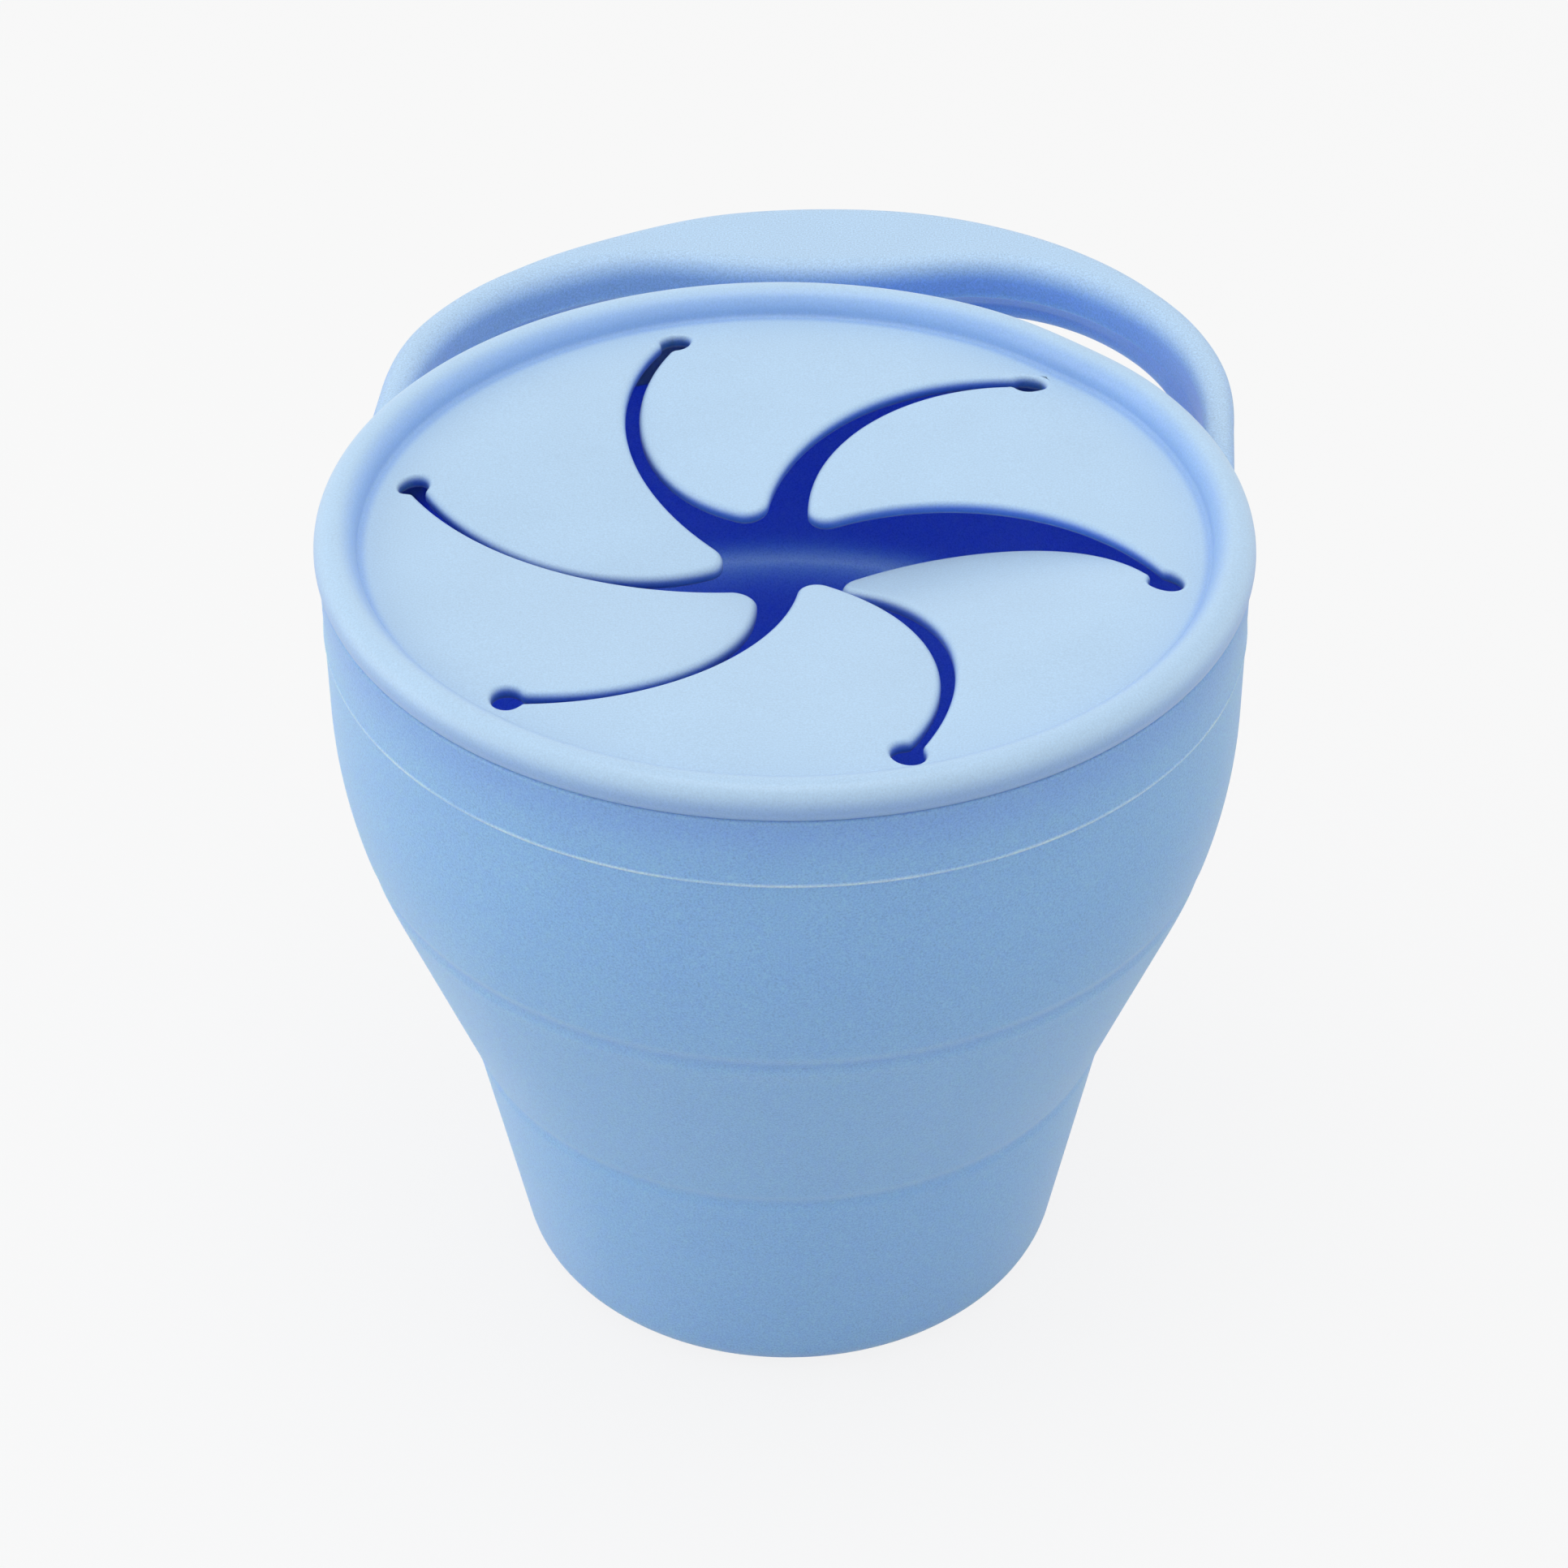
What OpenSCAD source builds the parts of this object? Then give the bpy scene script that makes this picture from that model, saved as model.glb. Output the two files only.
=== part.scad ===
// Collapsible toddler snack cup with a star-slit snack lid and a loop handle.
// One soft silicone moulding folds flat at two rings, and the lid lifts off its rim.
// Millimetres. Z is up, the floor is Z = 0, the cup's axis is X = Y = 0 and the handle is at +Y.

/* [Cup] */
// Outer radius of the straight collar
collar_r = 47; // [42:0.5:54]
// Wall thickness of the cup
wall = 2.4; // [1.8:0.1:3]
// Height of the base tier, from the floor to the lower fold
base_tier_h = 29.6; // [24:0.2:36]
// Height of the folding wall, between the two folds
fold_h = 27.1; // [22:0.1:32]
// Height of the upper tier, from the upper fold to the rim
upper_tier_h = 31.7; // [27:0.1:40]
// Straight height of the collar below the rim
collar_h = 16.3; // [13:0.1:20]
// Radius of the shoulder that turns the collar into the cone
shoulder_r = 57; // [50:1:70]
// Slope of the conical wall, in degrees from upright
cone_angle = 20.5; // [17:0.5:23]
// Slope of the base tier, in degrees from upright
base_angle = 10.7; // [6:0.1:14]
// Radius of the outer corner at the floor
base_corner_r = 4; // [2:0.5:6]
// Radius of the inner corner at the bottom
inner_corner_r = 3; // [1:0.5:5]
// Thickness of the bottom
bottom_t = 3; // [2:0.1:4.5]
// Thickness of the wall where it folds
fold_t = 1.4; // [1:0.1:1.8]
// Length over which the wall thins towards each fold
fold_fade = 4; // [2:0.5:7]

/* [Lid] */
// Radius of the round bead's section
bead_r = 2.1; // [1.6:0.1:2.8]
// How far the bead stands out past the collar
bead_overhang = 0.4; // [0:0.1:1]
// Height of the membrane's top face above the rim
membrane_rise = 0.8; // [0.4:0.1:1.4]
// Height of the bead's centre above the membrane's top face
bead_rise = 0.7; // [0.3:0.1:1.2]
// Thickness of the membrane and its petals
membrane_t = 1.6; // [1.2:0.1:2.4]
// Depth of the skirt that plugs into the collar, below the rim
skirt_h = 6; // [3:0.5:9]
// Thickness of the skirt
skirt_t = 1.8; // [1.2:0.1:2.4]
// Gap between the skirt and the collar
skirt_gap = 0.3; // [0.1:0.05:0.5]
// Lead-in chamfer at the foot of the skirt
skirt_lead = 0.6; // [0.2:0.1:1]

/* [Petals] */
// Radius of the circle that the relief holes lie on
hole_circle_r = 39; // [37:0.1:40]
// Angle of the first relief hole, in degrees from +X
first_hole_angle = 107.3; // [90:0.1:120]
// Radius of a relief hole
hole_r = 1.65; // [1.2:0.05:1.8]
// Radius of the curve that bounds a slit on its clockwise side
near_curve_r = 21.55; // [20.8:0.05:22]
// Direction of that curve's centre, seen from the hole, in degrees from straight out
near_curve_angle = 214.3; // [213:0.1:216]
// Radius of the curve that bounds a slit on its anticlockwise side
far_curve_r = 26.7; // [26.2:0.05:27.2]
// Direction of that curve's centre, seen from the hole, in degrees from straight out
far_curve_angle = 221.1; // [220:0.1:222.5]
// Half width of a slit where it leaves its hole
slit_half_w = 1.1; // [0.8:0.05:1.4]
// Radius of a petal's tip
tip_r = 1.8; // [1:0.1:2.4]
// Clearance around a petal's rolled root
root_gap = 0.2; // [0.1:0.05:0.4]

/* [Handle] */
// Turn of the handle away from +Y, in degrees clockwise
handle_turn = 5; // [0:0.5:10]
// Distance from the cup's axis to the centre of the loop
loop_y = 28.4; // [24:0.2:32]
// Radius of the loop's middle line
loop_r = 43.2; // [42.4:0.1:44]
// Thickness of the band
band_t = 4.8; // [4:0.2:5.4]
// Height of the band
band_h = 8.8; // [7.6:0.1:9.6]
// Drop from the rim to the top of the band
band_drop = 0.8; // [0.4:0.1:3]
// Distance from the loop's centre to the pad's flat inner face
pad_y = 28.6; // [27:0.1:33]
// Clearance of a root in its seat
seat_gap = 0.15; // [0.1:0.05:0.3]
// Setback of a lug's end from the root's axis
lug_setback = 2.6; // [2.2:0.1:3.4]

/* [Hidden] */
$fn = 96;
cup_blue = [0.60, 0.74, 0.90];
lid_blue = [0.72, 0.84, 0.95];
cut_past = 1;
petal_count = 6;
shoulder_steps = 12;
corner_steps = 8;

// Heights of the folds, the rim and the start of the shoulder.
fold_low_z = base_tier_h;
fold_top_z = fold_low_z + fold_h;
rim_z = fold_top_z + upper_tier_h;
shoulder_z = rim_z - collar_h;
cone_z = shoulder_z - shoulder_r * sin(cone_angle);
cone_top_r = collar_r - shoulder_r * (1 - cos(cone_angle));
// Height at which the folding wall starts to thin towards the upper fold.
fade_top_z = fold_top_z - fold_fade;

// Lid heights, and the radii of its bead and skirt.
membrane_z = rim_z + membrane_rise;
bead_z = membrane_z + bead_rise;
bead_mid_r = collar_r + bead_overhang - bead_r;
skirt_r = collar_r - wall - skirt_gap;

// A petal turns about the straight line between two relief holes.
petal_pitch = 360 / petal_count;
root_x = hole_circle_r * cos(petal_pitch / 2);
root_half = hole_circle_r * sin(petal_pitch / 2);
root_r = membrane_t / 2;
hinge_z = membrane_z - root_r;
// Resting droop of each petal, in degrees.
petal_droop = [0, 2, 11, 7, 8, 7.5];

// Centres of a slit's two curves, in a frame whose X axis runs from the lid's middle to its hole.
function curve_centre(start, r, a) = start + r * [cos(a), sin(a)];
near_centre = curve_centre([hole_circle_r, -slit_half_w], near_curve_r, near_curve_angle);
far_centre = curve_centre([hole_circle_r, slit_half_w], far_curve_r, far_curve_angle);

// The same centres in a petal's frame, where X points out through the middle of its root.
function turned(p, a) = [p[0] * cos(a) - p[1] * sin(a), p[0] * sin(a) + p[1] * cos(a)];
near_c = turned(near_centre, petal_pitch / 2);
far_c = turned(far_centre, -petal_pitch / 2);

// The tip's round lies inside the near curve and outside the far curve.
tip_span = norm(far_c - near_c);
tip_near = near_curve_r - tip_r;
tip_far = far_curve_r + tip_r;
tip_along = (tip_near * tip_near - tip_far * tip_far + tip_span * tip_span) / (2 * tip_span);
tip_across = sqrt(tip_near * tip_near - tip_along * tip_along);
tip_dir = (far_c - near_c) / tip_span;
tip_c = near_c + tip_along * tip_dir + tip_across * [tip_dir[1], -tip_dir[0]];
tip_on_near = tip_c + tip_r * (tip_c - near_c) / tip_near;
tip_on_far = tip_c - tip_r * (tip_c - far_c) / tip_far;
// A point well past the sharp corner that the round replaces.
tip_past = tip_c + 3 * (tip_on_near + tip_on_far - 2 * tip_c);

// Where the far curve crosses the root line, and the ends of the rolled root.
root_low = far_c[1] + sqrt(far_curve_r * far_curve_r - pow(root_x - far_c[0], 2)) + root_gap;
root_high = root_half - hole_r - root_gap;

// Handle: the height of its middle, and its root's radius.
band_z = rim_z - band_drop - band_h / 2;
root_seat_r = band_h / 2 + seat_gap;

// Outer radius of the cup at height z.
function outer_r(z) =
    z >= shoulder_z ? collar_r :
    z >= cone_z ? collar_r - shoulder_r + sqrt(shoulder_r * shoulder_r - pow(shoulder_z - z, 2)) :
    z >= fold_low_z ? cone_top_r - (cone_z - z) * tan(cone_angle) :
    outer_r(fold_low_z) - (fold_low_z - z) * tan(base_angle);

// Wall thickness of the folding wall at height z.
function folding_t(z) =
    fold_t + (wall - fold_t) * min(1, min(z - fold_low_z, fold_top_z - z) / fold_fade);

function spread(from, to, steps) = [for (i = [0:steps]) from + (to - from) * i / steps];
function arc(centre, r, from, to, steps) =
    [for (a = spread(from, to, steps)) centre + r * [cos(a), sin(a)]];
function backwards(list) = [for (i = [len(list) - 1:-1:0]) list[i]];

module base_tier() {
    out_c = [outer_r(base_corner_r) - base_corner_r / cos(base_angle), base_corner_r];
    in_z = bottom_t + inner_corner_r;
    in_c = [outer_r(in_z) - wall - inner_corner_r / cos(base_angle), in_z];
    color(cup_blue)
        rotate_extrude()
            polygon(concat(
                [[0, 0]],
                arc(out_c, base_corner_r, -90, -base_angle, corner_steps),
                [[outer_r(fold_low_z), fold_low_z], [outer_r(fold_low_z) - wall, fold_low_z]],
                backwards(arc(in_c, inner_corner_r, -90, -base_angle, corner_steps)),
                [[0, bottom_t]]));
}

module fold_wall() {
    heights = concat(
        [fold_low_z, fold_low_z + fold_fade],
        spread(min(cone_z, fade_top_z), fade_top_z, 2),
        [fold_top_z]);
    color(cup_blue)
        rotate_extrude()
            polygon(concat(
                [for (z = heights) [outer_r(z), z]],
                [for (z = backwards(heights)) [outer_r(z) - folding_t(z), z]]));
}

// Upright section of the handle's band: a slot shape with round top and bottom edges.
module band_section() {
    straight = band_h - band_t;
    square([band_t, straight], center = true);
    for (side = [-1, 1])
        translate([0, side * straight / 2])
            circle(d = band_t);
}

// A length of band along Y, from y = from to y = to, at x = 0 and mid height z = 0.
module straight_band(from, to) {
    translate([0, to, 0])
        rotate([90, 0, 0])
            linear_extrude(to - from)
                band_section();
}

// Places its children at both roots of the handle: X across the band, Y away from the cup.
module at_roots() {
    rotate(-handle_turn)
        for (side = [-1, 1])
            translate([side * loop_r, loop_y, band_z])
                children();
}

module upper_tier() {
    heights = concat(spread(fold_top_z, shoulder_z, shoulder_steps), [rim_z]);
    color(cup_blue)
        difference() {
            union() {
                rotate_extrude()
                    polygon(concat(
                        [for (z = heights) [outer_r(z), z]],
                        [for (z = backwards(heights)) [outer_r(z) - wall, z]]));
                difference() {
                    at_roots()
                        straight_band(-loop_y, -lug_setback);
                    cylinder(r = collar_r - wall / 2, h = rim_z + cut_past);
                }
            }
            at_roots()
                rotate([0, 90, 0])
                    cylinder(r = root_seat_r, h = band_t + 2 * seat_gap, center = true);
        }
}

module handle() {
    color(cup_blue) {
        // Round root knuckles that turn in the lugs' seats.
        at_roots()
            intersection() {
                straight_band(-band_h, 0);
                rotate([0, 90, 0])
                    cylinder(d = band_h, h = band_t, center = true);
            }
        rotate(-handle_turn)
            translate([0, loop_y, band_z]) {
                rotate_extrude(angle = 180)
                    translate([loop_r, 0])
                        band_section();
                // Pad in the middle of the loop, flat towards the cup.
                translate([0, 0, -band_h / 2])
                    linear_extrude(band_h)
                        intersection() {
                            circle(r = loop_r);
                            translate([-loop_r, pad_y])
                                square([2 * loop_r, loop_r]);
                        }
            }
    }
}

// Places its children at the middle of petal number i's root, with X pointing outwards.
module at_petal_root(i) {
    rotate(first_hole_angle - petal_pitch * (i - 0.5))
        translate([root_x, 0, hinge_z])
            children();
}

module lid_ring() {
    color(lid_blue)
        difference() {
            rotate_extrude() {
                intersection() {
                    translate([bead_mid_r, bead_z])
                        circle(r = bead_r);
                    translate([bead_mid_r - bead_r, rim_z])
                        square([2 * bead_r, bead_z + bead_r]);
                }
                translate([0, membrane_z - membrane_t])
                    square([skirt_r, membrane_t]);
                polygon([
                    [skirt_r - skirt_t, rim_z],
                    [skirt_r - skirt_t, rim_z - skirt_h],
                    [skirt_r - skirt_lead, rim_z - skirt_h],
                    [skirt_r, rim_z - skirt_h + skirt_lead],
                    [skirt_r, rim_z]]);
            }
            // Six-sided opening that the petals close, set back from their rolled roots.
            translate([0, 0, hinge_z])
                rotate(first_hole_angle)
                    cylinder(
                        r = (root_x + root_r + root_gap) / cos(petal_pitch / 2),
                        h = membrane_t + 2 * cut_past, center = true, $fn = petal_count);
            for (i = [1:petal_count])
                at_petal_root(i)
                    translate([0, root_half, 0])
                        cylinder(r = hole_r, h = membrane_t + 2 * cut_past, center = true);
        }
}

// Flat outline of a petal in its own frame, with the root line on Y at x = root_x.
module petal_outline() {
    difference() {
        intersection() {
            translate(near_c)
                circle(r = near_curve_r);
            translate([0, -hole_circle_r])
                square([root_x, 2 * hole_circle_r]);
        }
        translate(far_c)
            circle(r = far_curve_r);
        for (side = [-1, 1])
            translate([root_x, side * root_half])
                circle(r = hole_r);
        polygon([tip_c, tip_on_near, tip_past, tip_on_far]);
    }
    translate(tip_c)
        circle(r = tip_r);
}

module petal(i) {
    color(lid_blue)
        at_petal_root(i)
            rotate([0, -petal_droop[i - 1], 0]) {
                translate([-root_x, 0, -root_r])
                    linear_extrude(membrane_t)
                        petal_outline();
                // Rolled root that the petal turns about.
                translate([0, root_low, 0])
                    rotate([-90, 0, 0])
                        cylinder(r = root_r, h = root_high - root_low);
            }
}

base_tier();
fold_wall();
upper_tier();
handle();
lid_ring();
petal(1);  // petal_1
petal(2);  // petal_2
petal(3);  // petal_3
petal(4);  // petal_4
petal(5);  // petal_5
petal(6);  // petal_6
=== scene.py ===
"""Looks of a collapsible silicone snack cup with a slit snack lid and a loop handle.

Sizes are millimetres until a mesh is made, and every mesh is made in metres in the frame's own axes:
Z up from the floor, the cup's axis on Z, the handle towards +Y.
"""

import cmath
import logging
import math
from dataclasses import dataclass
from enum import Enum
from typing import Iterable, Sequence

import bmesh
import bpy
import numpy as np
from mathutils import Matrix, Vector, geometry

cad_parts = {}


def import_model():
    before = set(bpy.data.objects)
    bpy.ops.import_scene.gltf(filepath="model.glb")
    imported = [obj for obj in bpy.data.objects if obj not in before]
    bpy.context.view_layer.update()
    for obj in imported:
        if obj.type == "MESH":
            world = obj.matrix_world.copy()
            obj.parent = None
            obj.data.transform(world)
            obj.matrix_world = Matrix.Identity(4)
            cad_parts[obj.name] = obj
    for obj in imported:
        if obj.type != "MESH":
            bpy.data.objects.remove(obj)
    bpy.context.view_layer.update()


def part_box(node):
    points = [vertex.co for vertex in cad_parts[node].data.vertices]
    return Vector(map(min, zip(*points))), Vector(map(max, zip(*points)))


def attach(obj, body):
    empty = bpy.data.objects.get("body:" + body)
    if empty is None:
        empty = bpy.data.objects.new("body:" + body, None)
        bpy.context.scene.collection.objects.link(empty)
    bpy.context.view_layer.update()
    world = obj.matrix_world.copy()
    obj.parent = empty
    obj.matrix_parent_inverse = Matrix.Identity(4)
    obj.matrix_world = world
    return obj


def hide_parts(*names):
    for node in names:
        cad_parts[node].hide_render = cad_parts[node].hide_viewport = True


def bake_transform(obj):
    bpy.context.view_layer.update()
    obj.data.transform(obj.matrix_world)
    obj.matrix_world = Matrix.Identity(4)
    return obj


log = logging.getLogger("snack_cup")

MM = 0.001
SETTLE = 0.0105  # how far the soft upper tier has sunk per millimetre to the right
SETTLE_Z = (29.6, 56.7)  # heights between which that sets in, the two folds
SEAM_GAP = 0.2  # how far inside its seam with the ring a petal starts to bend
Point = tuple[float, float]


class Mark(Enum):
    """Names of the point attributes that the silicone reads.

    PAINTED_SHADE is the share of painted shade, a deeper colour where shade falls, which also
    lets light sink further into the rubber. FLASH is the share of the second colour: on
    the cup the pale flash, partly a painted highlight, and painted highlights by the upper fold,
    and on the handle the colour of its roots.
    """

    # stored as the inner attribute: the share of painted shade
    PAINTED_SHADE = "inner"
    # stored as the flash attribute: the share of the second colour, painted highlights included
    FLASH = "flash"


class Body(Enum):
    """The frame's bodies; of the pieces here, only the lid's ring is put on one."""

    BASE = "base"
    UPPER = "upper"
    HANDLE = "handle_loop"
    LID = "lid"


# ---------------------------------------------------------------- plane geometry


def turned(point: complex, degrees: float) -> complex:
    """Turns a point of the plane about the origin."""
    return point * cmath.rect(1.0, math.radians(degrees))


def unit(direction: complex) -> complex:
    """A direction brought to length one."""
    return direction / abs(direction)


def meet(first: complex, first_r: float, second: complex, second_r: float, side: int) -> complex:
    """Where two circles cross.

    Args:
        first: Centre of the first circle.
        first_r: Radius of the first circle.
        second: Centre of the second circle.
        second_r: Radius of the second circle.
        side: 1 for the crossing left of the line from first to second, -1 for the other.

    Returns:
        The crossing point.
    """
    span = abs(second - first)
    along = (first_r**2 - second_r**2 + span**2) / (2 * span)
    across = math.sqrt(first_r**2 - along**2)
    return first + (along + side * 1j * across) * unit(second - first)


def smooth(value: float, low: float, high: float) -> float:
    """Eases from 0 at low to 1 at high."""
    share = min(1.0, max(0.0, (value - low) / (high - low)))
    return share * share * (3 - 2 * share)


def bump(value: float, half_w: float) -> float:
    """A soft bump, 1 at the value 0 and about a third at its half width."""
    return math.exp(-((value / half_w) ** 2))


def soft_min(first: float, second: float, reach: float) -> float:
    """The smaller of two lengths, rounded where they cross.

    Args:
        first: One length.
        second: The other length.
        reach: How near the lengths have to be before the rounding starts.

    Returns:
        The rounded minimum.
    """
    near = max(0.0, reach - abs(first - second)) / reach
    return min(first, second) - near * near * reach / 4


def soft_max(first: float, second: float, reach: float) -> float:
    """The larger of two lengths, rounded where they cross."""
    return -soft_min(-first, -second, reach)


def bend(centre: Point, radius: float, start: float, end: float, steps: int) -> list[Point]:
    """Points along an arc of a profile.

    Args:
        centre: Centre of the arc, as radius and height.
        radius: Radius of the arc.
        start: Angle of the first point, in degrees from straight out.
        end: Angle of the last point.
        steps: Number of chords.

    Returns:
        The points, first to last.
    """
    angles = np.radians(np.linspace(start, end, steps + 1))
    return [(centre[0] + radius * math.cos(a), centre[1] + radius * math.sin(a)) for a in angles]


# ---------------------------------------------------------------- meshes


def settled(x: float, z: float) -> float:
    """Height of a point once the upper tier has sunk a little to its right."""
    return z - SETTLE * x * smooth(z, *SETTLE_Z)


def make_piece(
    name: str,
    points: Sequence[Sequence[float]],
    faces: Sequence[Sequence[int]],
    marks: dict[Mark, Sequence[float]],
    crease: float = 40.0,
) -> bpy.types.Object:
    """Makes a shaded mesh object out of points in millimetres.

    Args:
        name: Name of the piece.
        points: Points of the mesh, in millimetres.
        faces: Corner numbers of each face.
        marks: One value per point for each attribute that the material reads.
        crease: Faces that meet at more than this many degrees keep a sharp edge.

    Returns:
        The new object, linked to the scene.
    """
    mesh = bpy.data.meshes.new(name)
    mesh.from_pydata([tuple(c * MM for c in p) for p in points], [], [tuple(f) for f in faces])
    mesh.validate()
    shell = bmesh.new()
    shell.from_mesh(mesh)
    bmesh.ops.recalc_face_normals(shell, faces=shell.faces)
    shell.to_mesh(mesh)
    shell.free()
    mesh.shade_smooth()
    mesh.set_sharp_from_angle(angle=math.radians(crease))
    for mark in Mark:
        values = np.asarray(marks.get(mark, np.zeros(len(points))), np.float32)
        mesh.attributes.new(mark.value, "FLOAT", "POINT").data.foreach_set("value", values)
    piece = bpy.data.objects.new(name, mesh)
    bpy.context.scene.collection.objects.link(piece)
    return piece


def grid_faces(rows: int, columns: int, wrap_rows: bool, wrap_columns: bool) -> list[list[int]]:
    """Quads of a grid of points that are numbered row by row.

    Args:
        rows: Number of rows.
        columns: Number of points in a row.
        wrap_rows: Whether the last row joins the first.
        wrap_columns: Whether the last column joins the first.

    Returns:
        Corner numbers of each quad.
    """
    faces = []
    for i in range(rows if wrap_rows else rows - 1):
        for j in range(columns if wrap_columns else columns - 1):
            row, below, right = i * columns, (i + 1) % rows * columns, (j + 1) % columns
            faces.append([row + j, row + right, below + right, below + j])
    return faces


# ---------------------------------------------------------------- materials


def linear(code: str) -> tuple[float, float, float, float]:
    """Turns an sRGB hex colour into a linear one.

    Args:
        code: The colour, such as "#88aacc".

    Returns:
        Red, green, blue and alpha.
    """
    parts = [int(code[i : i + 2], 16) / 255 for i in (1, 3, 5)]
    red, green, blue = [p / 12.92 if p <= 0.04045 else ((p + 0.055) / 1.055) ** 2.4 for p in parts]
    return red, green, blue, 1.0


def add_node(
    tree: bpy.types.NodeTree,
    kind: str,
    settings: dict | None = None,
    links: dict | None = None,
) -> bpy.types.Node:
    """Adds a node with its settings and its incoming links.

    Args:
        tree: Node tree that gets the node.
        kind: Blender's type name of the node.
        settings: Values by the name or number of an input, or by the name of a property.
        links: Output sockets by the name or number of the input that each goes into.

    Returns:
        The new node.
    """
    node = tree.nodes.new(kind)
    for key, value in (settings or {}).items():
        if isinstance(key, int) or key in node.inputs:
            node.inputs[key].default_value = value
        else:
            setattr(node, key, value)
    for key, source in (links or {}).items():
        tree.links.new(source, node.inputs[key])
    return node


@dataclass(frozen=True)
class MouldedSilicone:
    """Platinum-cured silicone rubber, compression moulded in a fine-blasted steel tool.

    The blasted tool gives the eye a dry, even skin: a soft wide sheen and no mirror highlight. Light
    sinks into the pigmented rubber and comes back bluer. Hollows, creases, cut edges, undersides and
    the inside get painted shade, a deeper colour mixed in by a mark, and the thin flash along the
    tool's joints reads almost white, partly its own paler colour and partly a painted highlight.

    Attributes:
        name: Name of the material.
        face: Colour of an open face.
        deep: Painted shade colour, for the faces inside the cup, low in a slit and in other places
            where shade falls.
        flash: Second colour. On the cup it is the pale of the thin flash along the tool's joints,
            partly a painted highlight, and of the painted highlights by the upper fold; on the handle
            it is that of the roots, where the cup's shaded face colour runs into them.
        glow: Share of the light that goes through the rubber rather than off its skin.
        reach: How much further light goes where it shines through the wall into the cup.
        roughness: Mean roughness of the skin.
        grain: Spacing of the blasted grain, in millimetres. A real one is near 0.05, and it is drawn
            coarser so that it shows.
        speckle: How much lighter and darker the grain makes the rubber.
        mottle: Spacing of the broad uneven patches that the pigment leaves, in millimetres.
        uneven: How much lighter and darker those patches are.
        uneven_dry: How much rougher and smoother they are.
    """

    name: str
    face: str = "#9cc0ee"
    deep: str = "#526fe1"
    flash: str = "#cfe5ff"
    glow: float = 0.0
    reach: float = 6.0
    roughness: float = 0.52
    grain: float = 0.2
    speckle: float = 0.2
    mottle: float = 9.0
    uneven: float = 0.035
    uneven_dry: float = 0.06

    def make(self) -> bpy.types.Material:
        """Builds the material's node tree.

        Returns:
            The material.
        """
        material = bpy.data.materials.new(self.name)
        material.use_nodes = True
        tree = material.node_tree
        tree.nodes.clear()
        place = add_node(tree, "ShaderNodeTexCoord").outputs["Object"]
        grain = add_node(
            tree,
            "ShaderNodeTexNoise",
            {"Scale": 1 / (self.grain * MM), "Detail": 2.0, "Roughness": 0.6},
            {"Vector": place},
        ).outputs["Fac"]
        patches = add_node(
            tree,
            "ShaderNodeTexNoise",
            {"Scale": 1 / (self.mottle * MM), "Detail": 3.0, "Roughness": 0.5},
            {"Vector": place},
        ).outputs["Fac"]
        inner = add_node(tree, "ShaderNodeAttribute", {"attribute_name": Mark.PAINTED_SHADE.value}).outputs["Fac"]
        flash = add_node(tree, "ShaderNodeAttribute", {"attribute_name": Mark.FLASH.value}).outputs["Fac"]
        # Painted shade: the face colour mixed towards the deep colour by the painted shade mark.
        body = add_node(
            tree,
            "ShaderNodeMix",
            {"data_type": "RGBA", 6: linear(self.face), 7: linear(self.deep)},
            {0: inner},
        ).outputs[2]
        # Second colour: on the cup the joint's pale flash, partly a painted highlight, and painted
        # highlights by the upper fold; on the handle the cup's shaded colour at the roots.
        edged = add_node(
            tree, "ShaderNodeMix", {"data_type": "RGBA", 7: linear(self.flash)}, {0: flash, 6: body}
        ).outputs[2]
        uneven = add_node(
            tree,
            "ShaderNodeMapRange",
            {"To Min": 1 - self.uneven, "To Max": 1 + self.uneven},
            {"Value": patches},
        ).outputs[0]
        speckle = add_node(
            tree,
            "ShaderNodeMapRange",
            {"From Min": 0.25, "From Max": 0.75, "To Min": 1 - self.speckle, "To Max": 1 + self.speckle},
            {"Value": grain},
        ).outputs[0]
        shade = add_node(
            tree, "ShaderNodeMath", {"operation": "MULTIPLY"}, {0: uneven, 1: speckle}
        ).outputs[0]
        colour = add_node(
            tree, "ShaderNodeVectorMath", {"operation": "SCALE"}, {"Vector": edged, "Scale": shade}
        ).outputs[0]
        dry = add_node(
            tree,
            "ShaderNodeMapRange",
            {"To Min": self.roughness - self.uneven_dry, "To Max": self.roughness + self.uneven_dry},
            {"Value": patches},
        ).outputs[0]
        share = add_node(
            tree, "ShaderNodeMapRange", {"To Min": self.glow, "To Max": 1.0}, {"Value": inner}
        ).outputs[0]
        reach = add_node(
            tree,
            "ShaderNodeMapRange",
            {"From Min": 0.5, "To Min": MM, "To Max": self.reach * MM},
            {"Value": inner},
        ).outputs[0]
        relief = add_node(
            tree, "ShaderNodeBump", {"Strength": 0.25, "Distance": 0.02 * MM}, {"Height": grain}
        ).outputs["Normal"]
        shader = add_node(
            tree,
            "ShaderNodeBsdfPrincipled",
            {
                "IOR": 1.41,
                "Specular IOR Level": 0.6,
                "Sheen Weight": 0.1,
                "Sheen Roughness": 0.45,
                "Subsurface Radius": (0.6, 0.65, 1.5),
            },
            {
                "Base Color": colour,
                "Roughness": dry,
                "Normal": relief,
                "Subsurface Weight": share,
                "Subsurface Scale": reach,
            },
        )
        add_node(tree, "ShaderNodeOutputMaterial", links={"Surface": shader.outputs[0]})
        return material


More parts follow.
